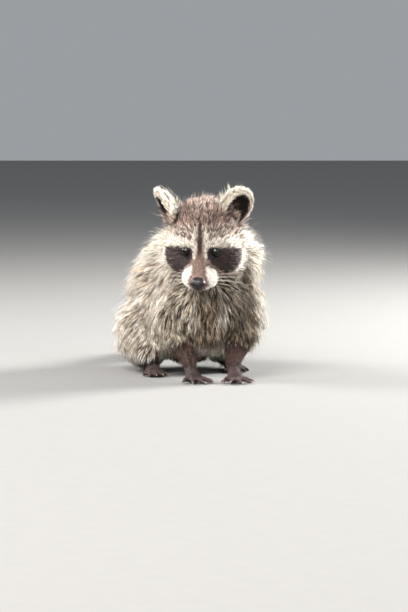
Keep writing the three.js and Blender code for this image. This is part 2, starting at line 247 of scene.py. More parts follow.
def growth_at(points, nodes):
    """Lie (not yet flat on the skin), hair length, and depth of the coat at each point, and its piece.
    `nodes` names the solid each point belongs to: ears, paws and tail have a growth of their own."""
    share = 1 / (away_from(points, COAT_PLACES) ** 4 + COAT_EASE**4)
    for piece, own in OWN_GROWTH.items():
        share[np.isin(nodes, own)[:, None] != (COAT_PIECES == piece)[None]] = 0
    piece = COAT_PIECES[share.argmax(1)]
    share /= share.sum(1)[:, None]
    sizes = share @ COAT_SIZES
    return share @ COAT_LIES, sizes[:, 0], sizes[:, 1], piece


# ---- Markings ----
# What the hair is dyed by nature, save where light is painted in. "shade" is painted shade for the shadowed
# left shoulder.
# The ear cup's paint is its own dark with painted shade in the hollow, and one "flank" mark is painted rim
# light.
# Each paint is the colour at the roots, the colour at the tips, the colour of the odd hairs that fleck it,
# and the share of those. Marks lie over one another.
def linear(colour):
    """An sRGB colour written as six hex digits, in linear light."""
    parts = np.array([int(colour[i : i + 2], 16) / 255 for i in (0, 2, 4)])
    return np.where(parts <= 0.04045, parts / 12.92, ((parts + 0.055) / 1.055) ** 2.4)


PAINTS = {
    "crown": ("4a3a34", "ad948a", "463531", 0.38),
    "grizzle": ("4d3c36", "decfc3", "4a3933", 0.46),
    "brow": ("b8aba0", "ece4da", "5a4741", 0.08),
    "stripe": ("261c1b", "4a3b38", "7a655e", 0.1),
    "bridge": ("604d46", "a0887d", "6a544c", 0.22),
    "mask": ("1b1415", "3c312f", "5c4c48", 0.1),
    "lid": ("0f0b0c", "181213", "181213", 0.0),
    "lip": ("1c1314", "2b2021", "2b2021", 0.0),
    "muzzle": ("cbc2b8", "eee9e2", "b3a699", 0.04),
    "chin": ("c4b798", "efe7c8", "b3a284", 0.1),
    "cheek": ("a88f79", "fff8ec", "97785f", 0.14),
    "jaw": ("33281e", "e0d0b8", "44352a", 0.5),
    "ear_rim": ("cfbda6", "fbf4e6", "ab8f73", 0.08),
    # the ear's cup: its own dark, with painted shade in its hollow
    "ear_cup_and_painted_shade": ("0c0805", "1f160f", "5a4634", 0.08),
    "ear_back": ("54413a", "a38979", "45342f", 0.3),
    "flank": ("7a6550", "fff3e3", "86705a", 0.24),
    "shoulder": ("2a2019", "e8d8c0", "3a2e24", 0.5),
    # painted shade, for the shadow on the left shoulder
    "shade": ("231b15", "7c6c58", "2b2119", 0.5),
    "breast": ("281f18", "a48e74", "3c3025", 0.46),
    "back": ("2e2420", "b5a48d", "2f2521", 0.44),
    "belly": ("54443a", "ab9880", "54443a", 0.25),
    "leg": ("2a1e1b", "6a524b", "33251f", 0.36),
    "paw": ("241b1c", "4e3e3b", "7d6a64", 0.16),
    "ring": ("7a6350", "cbb698", "5a4739", 0.25),
    "tail_dark": ("221a18", "3a2e2a", "6b5850", 0.1),
}
PAINT_NAMES = list(PAINTS)
PAINT_UNDER, PAINT_OVER, PAINT_FLECK = (
    np.array([linear(PAINTS[name][i]) for name in PAINTS]) for i in range(3)
)
PAINT_SHARE = np.array([PAINTS[name][3] for name in PAINTS])

# Marks on the head, in its frame: paint, softness, and the line they follow as (x, y, z, radius)
# from its midline outwards.
HEAD_MARKS = [
    ("jaw", 8, [(0, -25, -45, 20), (0, 10, -48, 26)]),
    ("cheek", 8, [(42, -8, 2, 10), (48, 0, -8, 18), (44, 6, -24, 20)]),
    ("cheek", 6, [(36, -15, -17, 8), (44, -6, -26, 15)]),
    ("jaw", 6, [(20, -36, -32, 6), (32, -24, -41, 8)]),
    ("muzzle", 2.5, [(18, -44, -18, 2.5), (30, -31, -25.5, 2.4), (42, -20, -27, 3)]),
    ("grizzle", 9, [(0, -24, 30, 5), (14, -22, 27, 6), (30, -14, 20, 6)]),
    ("brow", 3.5, [(5.8, -22, 29, 1.4), (7.4, -31, 18, 4.4), (7.0, -36, 9, 3.4), (6.6, -38, 4, 1.6)]),
    ("brow", 4, [(10, -31, 16, 4.6), (22, -24, 16, 6.2), (33, -17, 11, 7.2), (43, -9, 8, 9)]),
    ("mask", 2, [(10.5, -37, 2, 2.5), (16.5, -34, 4.6, 6.2), (27, -27, 0, 7.5), (37, -17, -4.5, 5.5),
                 (42, -13, -3.5, 2)]),
    ("mask", 2, [(17, -36, -1, 6.5), (25, -31, -8, 9), (29, -29, -17, 6), (30.5, -30, -20, 3.5)]),
    ("mask", 2, [(38, -18, -6, 5), (32, -27, -17, 5)]),
    ("muzzle", 2, [(10, -47, -2, 3), (13, -50, -10, 7.5), (11, -55, -19, 7)]),
    ("bridge", 3, [(0, -37, 9, 3), (0, -42, 4, 5.6), (0, -50, -1, 5.2), (0, -57, -4, 4.0)]),
    ("muzzle", 2, [(5.5, -58, -17, 3.4), (3, -57, -21.5, 3)]),
    ("chin", 2, [(0, -54, -28, 5), (9, -46, -28, 4.5)]),
    ("stripe", 1.6, [(0, -10, 42, 1.1), (0, -27, 26, 2.1), (0, -36, 12, 3.0), (0, -41, 6, 2.4)]),
    ("grizzle", 5, [(33, 1, 24, 5), (37, 3, 17, 4)]),
    ("lip", 0.8, [(0, -59, -22.6, 0.6), (10, -53, -23, 0.4), (18, -37, -23, 0.2)]),
]
HEAD_MIDLINE = 0.2  # how far to its left the middle of the marks lies
HEAD_FADE = (74, 84)  # how far from the head's middle its marks begin and end to fade
NAPE = [(0, 20, 40, 20), (0, 45, 20, 18)]
# The rims of the lids, by the opening of the lids: where each begins and ends to fade.
DARK_LID, DARK_RING = (1.08, 1.22), (1.16, 1.34)
# On the body, in the shared frame.
BODY_MARKS = [
    ("back", 30, [(14, -70, 180, 24), (0, 10, 164, 38), (-16, 60, 110, 36)]),
    ("shoulder", 14, [(-6, -130, 106, 20), (-12, -122, 60, 18), (-6, -122, 36, 20)]),
    # Painted shade over the left shoulder.
    ("shade", 12, [(50, -130, 112, 24), (54, -122, 80, 24), (54, -120, 52, 22)]),
    # Painted rim light: a pale fringe along its left edge, standing in for hair tips lit through from
    # behind.
    ("flank", 8, [(84, -112, 124, 16), (86, -106, 84, 19), (80, -92, 54, 18)]),
    ("breast", 18, [(20, -160, 110, 18), (20, -150, 60, 20), (22, -120, 42, 16)]),
    ("belly", 14, [(0, -60, 6, 20), (-6, 20, 6, 26)]),
    ("leg", 8, [(-4, -124, 26, 20), (-2, -134, 18, 20), (0, -142, 12, 18)]),
    ("leg", 8, [(50, -124, 26, 20), (50, -134, 18, 20), (48, -142, 12, 18)]),
    ("leg", 8, [(-48, -50, 10, 10), (-46, -62, 6, 12)]),
    ("leg", 8, [(42, -12, 10, 10), (44, -25, 6, 12)]),
    ("paw", 5, [(2, -142, 8, 14), (14, -164, 2, 20)]),
    ("paw", 5, [(49, -142, 8, 14), (56, -166, 2, 20)]),
    ("paw", 6, [(-47, -56, 4, 12), (-38, -92, 2, 20)]),
    ("paw", 6, [(44, -16, 4, 12), (54, -54, 2, 20)]),
]
# Rings of the tail: where each ends, in mm along it from the root, and its paint.
TAIL_RINGS = [(14, "back"), (30, "ring"), (42, "tail_dark"), (58, "ring"), (70, "tail_dark"), (86, "ring"),
              (99, "tail_dark"), (114, "ring"), (400, "tail_dark")]
TAIL_FROM_Y = 62  # behind this the hair is the tail's

# Where each eyeball sits, and the way the opening of its lids looks.
EYE_RADIUS = 6.4 * MM
LID_WIDE, LID_HIGH = math.radians(52), math.radians(46)  # half the opening, at the eyeball's centre
EYES = {
    name: (np.array(sum(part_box(name), Vector())) / 2, HEAD_TURN @ np.array((turn, -0.92, 0.30)))
    for name, turn in (("right_eye", -0.24), ("left_eye", 0.24))
}


def ramp(values, low, high):
    """0 at low and 1 at high, with soft ends."""
    t = np.clip((values - low) / (high - low), 0, 1)
    return t * t * (3 - 2 * t)


def inside_line(points, line):
    """How far each point is outside a line of balls (x, y, z, radius), negative inside."""
    line = np.array(line, float)
    least = np.full(len(points), np.inf)
    for here, there in zip(line, line[1:]):
        along = there[:3] - here[:3]
        t = np.clip((points - here[:3]) @ along / (along @ along), 0, 1)
        centre = here[:3] + t[:, None] * along
        off = np.linalg.norm(points - centre, axis=1) - (here[3] + t * (there[3] - here[3]))
        least = np.minimum(least, off)
    return least


def wavering(points, size):
    """A smooth uneven value about 0, for the edges of marks."""
    x, y, z = (points / size).T
    sideways = np.sin(x * 2.1 + np.sin(z * 1.3))
    along = np.sin(y * 1.9 + 1.7 * np.sin(x * 0.8))
    upwards = np.sin(z * 2.3 + y)
    return (sideways + along + upwards) / 3


def ear_frame(name):
    """Root and axes (side, out, up) of an ear, in the head's frame."""
    root, towards, facing = EARS[name]
    up = unit(towards)
    out = unit(np.array(facing) - np.dot(facing, up) * up)
    return np.array(root, float), np.array((np.cross(out, up), out, up))


def round_eye(points, name):
    """How far each point is from an eyeball's centre, how far from the line it looks along, and
    where it lies in the opening of the lids, by angle: 0 is its middle and 1 its edge."""
    centre, look = EYES[name]
    look = unit(look)
    upright = HEAD_TURN @ np.array((0, 0.1, 1))
    up = unit(upright - look * (upright @ look))
    outwards = np.cross(up, look) * (1 if name == "right_eye" else -1)
    away = points - centre
    reach = np.linalg.norm(away, axis=1)
    across, high, front = away @ outwards, away @ up, away @ look
    aside = np.hypot(across, high)
    angle = np.arctan2(aside, front)
    across, high = angle * across / np.maximum(aside, 1e-9), angle * high / np.maximum(aside, 1e-9)
    opening = np.hypot(across / LID_WIDE, high / LID_HIGH)
    # The inner corner is drawn out to a point.
    opening -= 0.14 * np.exp(-((high / 0.17) ** 2)) * ramp(-across, 0.55, 1.0)
    return reach, aside, opening


def lids_at(points, within):
    """Where each point lies in the opening of the nearer lids, infinite for those that are not
    within this of the eyeball's centre."""
    least = np.full(len(points), np.inf)
    for name in EYES:
        reach, _, opening = round_eye(points, name)
        least = np.minimum(least, np.where(reach < within, opening, np.inf))
    return least


def along_tail(points):
    """How far along the tail each point lies, in mm from its root."""
    best = np.full(len(points), np.inf)
    place = np.zeros(len(points))
    gone = 0.0
    for here, there in zip(TAIL_ROUTE, TAIL_ROUTE[1:]):
        span = np.linalg.norm(there - here)
        way = (there - here) / span
        t = np.clip((points - here) @ way, 0, span)
        off = np.linalg.norm(points - here - t[:, None] * way, axis=1)
        nearer = off < best
        best = np.where(nearer, off, best)
        place = np.where(nearer, gone + t, place)
        gone += span
    return place


def paint_shares(points, nodes):
    """How much of each paint lies on each point; `nodes` names the solid each point belongs to."""
    shares = np.zeros((len(points), len(PAINT_NAMES)))

    def lay(paint, amount):
        amount = np.clip(amount, 0, 1)[:, None]
        shares[:] *= 1 - amount
        shares[:, PAINT_NAMES.index(paint)] += amount[:, 0]

    local = to_head(points)
    mirrored = local.copy()
    mirrored[:, 0] = np.abs(local[:, 0] - HEAD_MIDLINE)
    body = points / MM
    lay("flank", np.ones(len(points)))
    for paint, soft, line in BODY_MARKS:
        off = inside_line(body, line) + wavering(body, 9) * soft * 0.35
        lay(paint, 1 - ramp(off, -soft / 2, soft / 2))
    on_head = np.isin(nodes, ("head", "nose", "right_eye", "left_eye", "right_ear", "left_ear"))
    # The crown's paint runs down the nape a little way.
    lay("crown", np.where(on_head, 1.0, 1 - ramp(inside_line(local, NAPE), -6, 8)))
    by_head = 1 - ramp(np.linalg.norm(local, axis=1), *HEAD_FADE)
    for paint, soft, line in HEAD_MARKS:
        off = inside_line(mirrored, line) + wavering(local, 3.2) * soft * 0.3
        lay(paint, by_head * (1 - ramp(off, -soft / 2, soft / 2)))
    lay("mask", 1 - ramp(lids_at(points, 12 * MM), *DARK_RING))
    lay("lid", 1 - ramp(lids_at(points, 10 * MM), *DARK_LID))
    lay("lip", nodes == "nose")
    for ear in EARS:
        root, axes = ear_frame(ear)
        side, out, up = ((local - root) @ axes.T).T
        spread = np.hypot(side / EAR_HALF_WIDE, (up - EAR_MIDDLE) / EAR_HALF_HIGH)
        here = (nodes == ear).astype(float)
        lay("ear_back", here * ramp(up, 2, 10))
        # The cup: its own dark with painted shade in the hollow, the deepest near the root.
        lay("ear_cup_and_painted_shade", here * ramp(out, -6, -3) * (1 - ramp(spread, 0.7, 0.84)))
        lay("ear_cup_and_painted_shade", here * ramp(out, -5, -2) * (1 - ramp(np.abs(side), 9, 12)) * (1 - ramp(up, 12, 22)))
        lay("ear_rim", here * ramp(spread, 0.74, 0.9) * ramp(up, 4, 12))
        # The edge towards the other ear is the broader.
        inwards = side if ear == "left_ear" else -side
        spread = np.hypot((inwards + 4) / EAR_HALF_WIDE, (up - 19) / EAR_HALF_HIGH)
        lay("ear_rim", here * ramp(spread, 0.74, 0.92) * (inwards > 0))
        lay("ear_rim", here * ramp(up, 34, 44) * (1 - ramp(out, 0, 4)) * 0.7)
    tail = np.char.startswith(nodes.astype(str), "tail")
    on_tail = tail * ramp(body[:, 1], TAIL_FROM_Y - 6, TAIL_FROM_Y + 6)
    along = along_tail(body) + wavering(body, 5) * 1.5
    start = -100.0
    for end, paint in TAIL_RINGS:
        lay(paint, on_tail * ramp(along, start - 1.5, start + 1.5) * (1 - ramp(along, end + 3, end + 6)))
        start = end
    return shares


# ---- Skin ----
# One unbroken hide from nose to tail, bare where the coat is too short to hide it. It is cast
# from the solids of the flesh: they are run together, melted into one surface, sunk by the
# coat's depth, then the lids and lips are pressed into it.
OVERLAP = 0.45 * MM  # each solid grows by this, so that the cuts between them close
CAST_GRAIN, SKIN_GRAIN = 1.3 * MM, 1.0 * MM
DEEPEST = 15 * MM  # the most that the coat's depth can sink the skin
ROUNDING = 14  # rounds of smoothing under the coat
UNDER_COAT = (1.5 * MM, 6 * MM)  # depths of coat where that smoothing begins and is full
COARSE_SHARE = 0.36  # of the faces, what the coarser mesh of the body keeps
FACE_MIDDLE, FACE_SPARED = (0, -32, -4), (34, 50)  # in the head's frame; where its fine mesh ends

# Fingers and toes, in mm: how far out along the paw each starts, how far to its side, the way
# it splays from the paw's bearing, in degrees, and its length.
FINGERS = [(6, -6.0, -50, 13), (10.5, -3.5, -24, 19), (12, 0, 0, 21), (10.5, 3.5, 24, 19), (6, 6.0, 50, 14)]
TOES = [(34, -7.0, -30, 11), (38.5, -4.1, -13, 14), (40, 0, 0, 15), (38.5, 4.1, 13, 14), (34, 7.0, 30, 11)]
PAWS = {  # wrist or heel on the floor, bearing in degrees, digits, and their radius
    "right_forepaw": ((0.5, -140.6), 28, FINGERS, 2.7),
    "left_forepaw": ((47.5, -140.6), 16, FINGERS, 2.7),
    "right_hind_foot": ((-46.5, -45.6), 10, TOES, 3.0),
    "left_hind_foot": ((43.5, -5.6), 12, TOES, 3.0),
}
DIGIT_HEIGHT = 4.0  # of its root above the floor


def digits():
    """Root, way ahead, length and radius of every finger and toe, in metres."""
    for (x, y), bearing, shapes, radius in PAWS.values():
        turn = math.radians(bearing)
        ahead = np.array((math.sin(turn), -math.cos(turn)))
        aside = np.array((math.cos(turn), math.sin(turn)))
        for out, side, splay, length in shapes:
            root = np.array((x, y)) + out * ahead + side * aside
            way = math.radians(bearing + splay)
            yield (
                np.array((*root, DIGIT_HEIGHT)) * MM,
                np.array((math.sin(way), -math.cos(way), 0.0)),
                length * MM,
                radius * MM,
            )


DIGITS = list(digits())


def new_piece(name, mesh):
    piece = bpy.data.objects.new(name, mesh)
    bpy.context.scene.collection.objects.link(piece)
    return piece


def select_only(*pieces):
    bpy.ops.object.select_all(action="DESELECT")
    for piece in pieces:
        piece.select_set(True)
    bpy.context.view_layer.objects.active = pieces[0]


def merge_points(piece):
    """Merges the points that the loose triangles of a solid share."""
    select_only(piece)
    bpy.ops.object.mode_set(mode="EDIT")
    bpy.ops.mesh.select_all(action="SELECT")
    bpy.ops.mesh.remove_doubles(threshold=0.01 * MM)
    bpy.ops.object.mode_set(mode="OBJECT")


def shape_with(piece, kind, **settings):
    """Adds a modifier with its settings and applies it."""
    select_only(piece)
    modifier = piece.modifiers.new(kind.lower(), kind)
    for setting, value in settings.items():
        setattr(modifier, setting, value)
    bpy.ops.object.modifier_apply(modifier=modifier.name)


WEIGHT_STEPS = 50


def shape_by(piece, weights, kind, **settings):
    """Does the same in proportion to the weights of its points."""
    steps = np.round(np.clip(weights, 0, 1) * WEIGHT_STEPS).astype(int)
    group = piece.vertex_groups.new(name="weights")
    for step in np.unique(steps[steps > 0]):
        group.add(np.nonzero(steps == step)[0].tolist(), step / WEIGHT_STEPS, "REPLACE")
    shape_with(piece, kind, vertex_group="weights", **settings)
    piece.vertex_groups.clear()


def points_of(piece, measure="co"):
    flat = np.empty(len(piece.data.vertices) * 3, np.float32)
    piece.data.vertices.foreach_get(measure, flat)
    return flat.reshape(-1, 3).astype(float)


def normals_of(piece):
    return points_of(piece, "normal")


def triangles_of(piece):
    piece.data.calc_loop_triangles()
    flat = np.empty(len(piece.data.loop_triangles) * 3, np.int32)
    piece.data.loop_triangles.foreach_get("vertices", flat)
    return flat.reshape(-1, 3)


def move_points(piece, points):
    piece.data.vertices.foreach_set("co", points.astype(np.float32).ravel())
    piece.data.update()


def areas_of(corners):
    """Area of each triangle, from its corners."""
    sides = corners[:, 1] - corners[:, 0], corners[:, 2] - corners[:, 0]
    return np.linalg.norm(np.cross(*sides), axis=1) / 2


def places_within(rng, count):
    """Shares of the three corners that put `count` points evenly inside triangles."""
    a, b = rng.random((2, count))
    fold = a + b > 1
    a, b = np.where(fold, 1 - a, a)[:, None], np.where(fold, 1 - b, b)[:, None]
    return 1 - a - b, a, b


SAMPLE_AREA, SAMPLES_LEAST = 1.6 * MM**2, 500  # surface to each point, and points every solid has


def node_samples():
    """Points spread over every solid of the frame, and the name of the solid each is on."""
    rng = np.random.default_rng(3)
    points, names = [], []
    for name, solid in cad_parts.items():
        corners = points_of(solid)[triangles_of(solid)]
        areas = areas_of(corners)
        count = int(areas.sum() / SAMPLE_AREA) + SAMPLES_LEAST
        which = rng.choice(len(areas), count, p=areas / areas.sum())
        shares = places_within(rng, count)
        points.append(sum(corners[which][:, k] * shares[k] for k in range(3)))
        names += [name] * count
    return np.concatenate(points), np.array(names)


def tree_of(points):
    tree = kdtree.KDTree(len(points))
    for i, point in enumerate(points):
        tree.insert(point, i)
    tree.balance()
    return tree


def nearest_in(tree, points):
    return np.array([tree.find(point)[1] for point in points])


sample_points, sample_nodes = node_samples()
sample_tree = tree_of(sample_points)


def nodes_at(points):
    """The name of the solid nearest to each point."""
    return sample_nodes[nearest_in(sample_tree, points)]


select_only(*[new_piece("cast", solid.data.copy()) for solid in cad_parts.values()])
bpy.ops.object.join()
skin = bpy.context.object
skin.name = "skin"
merge_points(skin)
# The solids' claws are cut back to the fingertips.
CLAW_ROOM, CLAW_ASIDE = 9 * MM, 2.2 * MM  # within how far of the tip and the floor; of its middle
points = points_of(skin)
for root, ahead, length, radius in DIGITS:
    reach = (points - root) @ ahead
    aside = np.linalg.norm((points - root - reach[:, None] * ahead)[:, :2], axis=1)
    past = reach - (length + radius * 0.8)
    over = (past > 0) & (past < CLAW_ROOM) & (aside < CLAW_ASIDE) & (points[:, 2] < CLAW_ROOM)
    points[over] -= (past[over] * 0.98)[:, None] * ahead
move_points(skin, points)
shape_with(skin, "DISPLACE", strength=OVERLAP, mid_level=0)
shape_with(skin, "REMESH", mode="VOXEL", voxel_size=CAST_GRAIN, use_smooth_shade=True)


def coat_depth():
    """Depth of the coat at each point of the skin as it is."""
    points = points_of(skin)
    return growth_at(points, nodes_at(points))[2]


def round_under_coat():
    shape_by(skin, ramp(coat_depth(), *UNDER_COAT), "SMOOTH", factor=0.6, iterations=ROUNDING)
    shape_with(skin, "SMOOTH", factor=0.5, iterations=2)


round_under_coat()
shape_by(skin, (coat_depth() + OVERLAP) / DEEPEST, "DISPLACE", strength=-DEEPEST, mid_level=0)
shape_with(skin, "REMESH", mode="VOXEL", voxel_size=SKIN_GRAIN, use_smooth_shade=True)
round_under_coat()
# The body can do with a coarser mesh than the face.
off_face = np.linalg.norm(to_head(points_of(skin)) - FACE_MIDDLE, axis=1)
coarser = 0.05 + 0.95 * ramp(off_face, *FACE_SPARED)
shape_by(skin, coarser, "DECIMATE", ratio=COARSE_SHARE, vertex_group_factor=1.0)

# Finer mesh round the eyes and the mouth.
MOUTH = [(0, -58.5, -23.2), (5, -57.5, -22.6), (10, -53, -23), (15, -45, -23.5), (18, -37, -23),
         (19.5, -32, -21)]
EYE_FINE, MOUTH_FINE = 12.5 * MM, 4  # how far the finer mesh reaches


def in_half_head(points):
    """Places in the head's frame, those on its right mirrored to its left."""
    local = to_head(points)
    local[:, 0] = np.abs(local[:, 0])
    return local


def off_mouth(points):
    """How far each point is from the line where the lips meet, in mm."""
    return inside_line(in_half_head(points), [(*place, 0) for place in MOUTH])


def off_eyes(points):
    return np.min([np.linalg.norm(points - centre, axis=1) for centre, _ in EYES.values()], axis=0)


def refine(piece, wanted):
    """Halves the edges between the wanted points."""
    select_only(piece)
    bpy.ops.object.mode_set(mode="EDIT")
    bpy.ops.mesh.select_mode(type="VERT")
    bpy.ops.mesh.select_all(action="DESELECT")
    bpy.ops.object.mode_set(mode="OBJECT")
    piece.data.vertices.foreach_set("select", wanted)
    bpy.ops.object.mode_set(mode="EDIT")
    bpy.ops.mesh.subdivide(number_cuts=1, quadcorner="INNERVERT")
    bpy.ops.object.mode_set(mode="OBJECT")


for _ in range(2):
    refine(skin, off_eyes(points_of(skin)) < EYE_FINE)
refine(skin, off_mouth(points_of(skin)) < MOUTH_FINE)
shape_with(skin, "TRIANGULATE")

# Each point round an eye moves along its own ray from the eyeball's centre: under the eyeball
# inside the opening, up over the lid's edge, and back to the face beyond.
LID_PROUD, LID_TUCKED = 0.7 * MM, 1.8 * MM  # off the eyeball at the lid's edge, under it within
FACE_FREE = (6.6 * MM, 9.5 * MM)  # off the line of sight, where the face begins and ends to go free
points = points_of(skin)
for name, (centre, _) in EYES.items():
    reach, aside, opening = round_eye(points, name)
    edge, within = ramp(opening, 0.94, 1.05), 1 - ramp(opening, 0.8, 0.99)
    lid = EYE_RADIUS + LID_PROUD * edge - LID_TUCKED * within
    free = ramp(aside, *FACE_FREE) * ramp(opening, 1.0, 1.15)
    near = (opening < 2.2) & (reach < 16 * MM)
    wanted = lid + (reach - lid) * free
    points[near] = centre + ((points[near] - centre) / reach[near, None]) * wanted[near, None]
# The lips close along a fold.
FOLD_DEEP, FOLD_WIDE = 1.5 * MM, 0.9
fold = FOLD_DEEP * np.exp(-((off_mouth(points) / FOLD_WIDE) ** 2))
points = points - normals_of(skin) * fold[:, None]
move_points(skin, points)
# The lids' outer slopes are smoothed.
on_slope = np.abs(lids_at(points, 14 * MM) - 1.5) < 0.42
shape_by(skin, on_slope * 1.0, "SMOOTH", factor=0.4, iterations=4)
select_only(skin)
bpy.ops.object.shade_smooth()

# It has the coat's markings, with their painted shade and painted rim light, part way from the colours of
# the roots to those of the tips.
points = points_of(skin)
skin_nodes = nodes_at(points)
shares = paint_shares(points, skin_nodes)


def give_colours(piece, colours):
    """Writes a colour for each point, in linear light, as the attribute "fur_colour"."""
    layer = piece.data.color_attributes.new("fur_colour", "FLOAT_COLOR", "POINT")
    rows = np.ones((len(colours), 4), np.float32)
    rows[:, :3] = colours
    layer.data.foreach_set("color", rows.ravel())


give_colours(skin, shares @ (0.45 * PAINT_UNDER + 0.55 * PAINT_OVER))


def node(material, kind, inputs=None, **settings):
    """Adds a shader node, sets it up, and sets or links its inputs."""
    made = material.node_tree.nodes.new(kind)
    for setting, value in settings.items():
        setattr(made, setting, value)
    for socket, value in (inputs or {}).items():
        if isinstance(value, bpy.types.NodeSocket):
            material.node_tree.links.new(value, made.inputs[socket])
        else:
            made.inputs[socket].default_value = value
    return made


def new_material(name):
    made = bpy.data.materials.new(name)
    made.use_nodes = True
    made.node_tree.nodes.clear()
    return made


def uneven_dye(material, spots_per_mm, detail, darkest, palest):
    """The dye of "fur_colour", darkened and paled in spots."""
    place = node(material, "ShaderNodeTexCoord").outputs["Object"]
    spots = node(material, "ShaderNodeTexNoise", {
        "Vector": place, "Scale": spots_per_mm / MM, "Detail": detail,
    })
    shade = node(material, "ShaderNodeMapRange", {
        "Value": spots.outputs["Fac"], "To Min": darkest, "To Max": palest,
    })
    dye = node(material, "ShaderNodeAttribute", attribute_name="fur_colour").outputs["Color"]
    tint = node(material, "ShaderNodeVectorMath", {0: dye, 1: shade.outputs[0]}, operation="MULTIPLY")
    return tint.outputs[0]


# Hide: matt, grained like velvet by the stubble of the shortest hair.
STUBBLE_PER_MM, STUBBLE_DEEP = 1.4, 0.4 * MM  # how many grains go to the mm, and their depth
hide = new_material("hide under the coat")
place = node(hide, "ShaderNodeTexCoord").outputs["Object"]
grain = node(hide, "ShaderNodeTexNoise", {
    "Vector": place, "Scale": STUBBLE_PER_MM / MM, "Detail": 3.0, "Roughness": 0.6,
})
pores = node(hide, "ShaderNodeBump", {
    "Height": grain.outputs["Fac"], "Strength": 0.5, "Distance": STUBBLE_DEEP,
})
shader = node(hide, "ShaderNodeBsdfPrincipled", {
    "Base Color": uneven_dye(hide, spots_per_mm=0.26, detail=4.0, darkest=0.72, palest=1.12),
    "Roughness": 0.8, "IOR": 1.45, "Normal": pores.outputs[0],
})
node(hide, "ShaderNodeOutputMaterial", {"Surface": shader.outputs[0]})
skin.data.materials.clear()
skin.data.materials.append(hide)
FLESH = [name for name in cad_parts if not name.endswith("_eye") and name != "nose"]
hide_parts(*FLESH)
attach(skin, "root")

# ---- Eyes ----
# Near-black wet eyeballs with a brown iris that hardly parts from the pupil, a bulging cornea,
# set in the orbits under the lids.
CORNEA_HALF = math.radians(40)
CORNEA_RISE = 0.5 * MM
for name, (centre, look) in EYES.items():
    turn = Vector(look).to_track_quat("Z", "Y")
    bpy.ops.mesh.primitive_uv_sphere_add(segments=48, ring_count=40, radius=EYE_RADIUS)
    eye = bpy.context.object
    eye.name = name + "ball"
    points = points_of(eye)
    off_axis = np.arccos(np.clip(points[:, 2] / EYE_RADIUS, -1, 1))
    bulge = np.where(off_axis < CORNEA_HALF, np.cos(off_axis / CORNEA_HALF * math.pi / 2) ** 2, 0)
    points *= 1 + (CORNEA_RISE / EYE_RADIUS) * bulge[:, None]
    move_points(eye, points @ np.array(turn.to_matrix()).T + centre)
    select_only(eye)
    bpy.ops.object.shade_smooth()
    iris = new_material(name + " cornea and iris")
    unrolling = node(iris, "ShaderNodeTexCoord").outputs["UV"]
    latitude = node(iris, "ShaderNodeSeparateXYZ", {0: unrolling}).outputs[1]
    rings = node(iris, "ShaderNodeValToRGB", {"Fac": latitude})
    rings.color_ramp.interpolation = "LINEAR"
    stops = ((0.0, "1e1714"), (0.70, "0f0b0a"), (0.765, "050404"), (0.80, "160e0b"), (0.86, "100a07"),
             (0.89, "040303"), (1.0, "020202"))
    for at, colour in stops[1:-1]:
        rings.color_ramp.elements.new(at)
    for element, (at, colour) in zip(sorted(rings.color_ramp.elements, key=lambda e: e.position), stops):
        element.position = at
        element.color = (*linear(colour), 1)
    shader = node(iris, "ShaderNodeBsdfPrincipled", {
        "Base Color": rings.outputs["Color"], "Roughness": 0.2, "IOR": 1.33, "Specular IOR Level": 0.1,
        "Coat Weight": 1.0, "Coat Roughness": 0.015, "Coat IOR": 1.33,
    })
    node(iris, "ShaderNodeOutputMaterial", {"Surface": shader.outputs[0]})
    eye.data.materials.append(iris)
    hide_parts(name)
    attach(eye, "root")

# ---- Nose ----
# The bare leather of the nose: a pebbled, moist black pad with two comma-shaped nostrils, a
# cleft below them, and wings that stand out a little round them.
NOSE_GRAIN = 0.45 * MM
NOSTRILS = [(2.9, -70, -10.6, 0.5), (5.2, -69, -11.6, 0.9), (7.4, -66, -13.6, 0.3), (8.6, -62, -14.8, 0.1)]
CLEFT = [(0, -71, -11.5, 0), (0, -70, -15, 0), (0, -66, -21, 0)]
WINGS = [(6.0, -67, -8.4, 0.6), (8.2, -64, -10.5, 0.5)]

nose = new_piece("nose_leather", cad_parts["nose"].data.copy())
merge_points(nose)
shape_with(nose, "REMESH", mode="VOXEL", voxel_size=NOSE_GRAIN, use_smooth_shade=True)
shape_with(nose, "SMOOTH", factor=0.5, iterations=10)
points = points_of(nose)
local = in_half_head(points)
swell = 0.35 + 0.7 * np.exp(-((inside_line(local, WINGS) / 1.6) ** 2))
swell -= 2.6 * np.exp(-((np.maximum(inside_line(local, NOSTRILS), 0) / 0.95) ** 2))
swell -= 0.9 * np.exp(-((inside_line(local, CLEFT) / 0.75) ** 2))
swell -= 0.45 * np.exp(-((local[:, 0] / 1.6) ** 2)) * ramp(local[:, 2], -10, -7)
move_points(nose, points + normals_of(nose) * (swell * MM)[:, None])
shape_with(nose, "SMOOTH", factor=0.35, iterations=2)
select_only(nose)
bpy.ops.object.shade_smooth()

# Nose leather: fine raised cobbles about 0.5 mm across, moist, grey-black.
COBBLES_PER_MM, COBBLES_HIGH, BLOTCHES_PER_MM = 1.9, 0.3 * MM, 0.32
leather = new_material("moist nose leather")
place = node(leather, "ShaderNodeTexCoord").outputs["Object"]
cobbles = node(leather, "ShaderNodeTexVoronoi", {"Vector": place, "Scale": COBBLES_PER_MM / MM},
               feature="SMOOTH_F1")
blotch = node(leather, "ShaderNodeTexNoise", {
    "Vector": place, "Scale": BLOTCHES_PER_MM / MM, "Detail": 3.0,
})
tone = node(leather, "ShaderNodeValToRGB", {"Fac": blotch.outputs["Fac"]})
tone.color_ramp.elements[0].color = (*linear("080707"), 1)
tone.color_ramp.elements[1].color = (*linear("181416"), 1)
relief = node(leather, "ShaderNodeBump", {
    "Height": cobbles.outputs["Distance"], "Strength": 0.55, "Distance": COBBLES_HIGH,
}, invert=True)
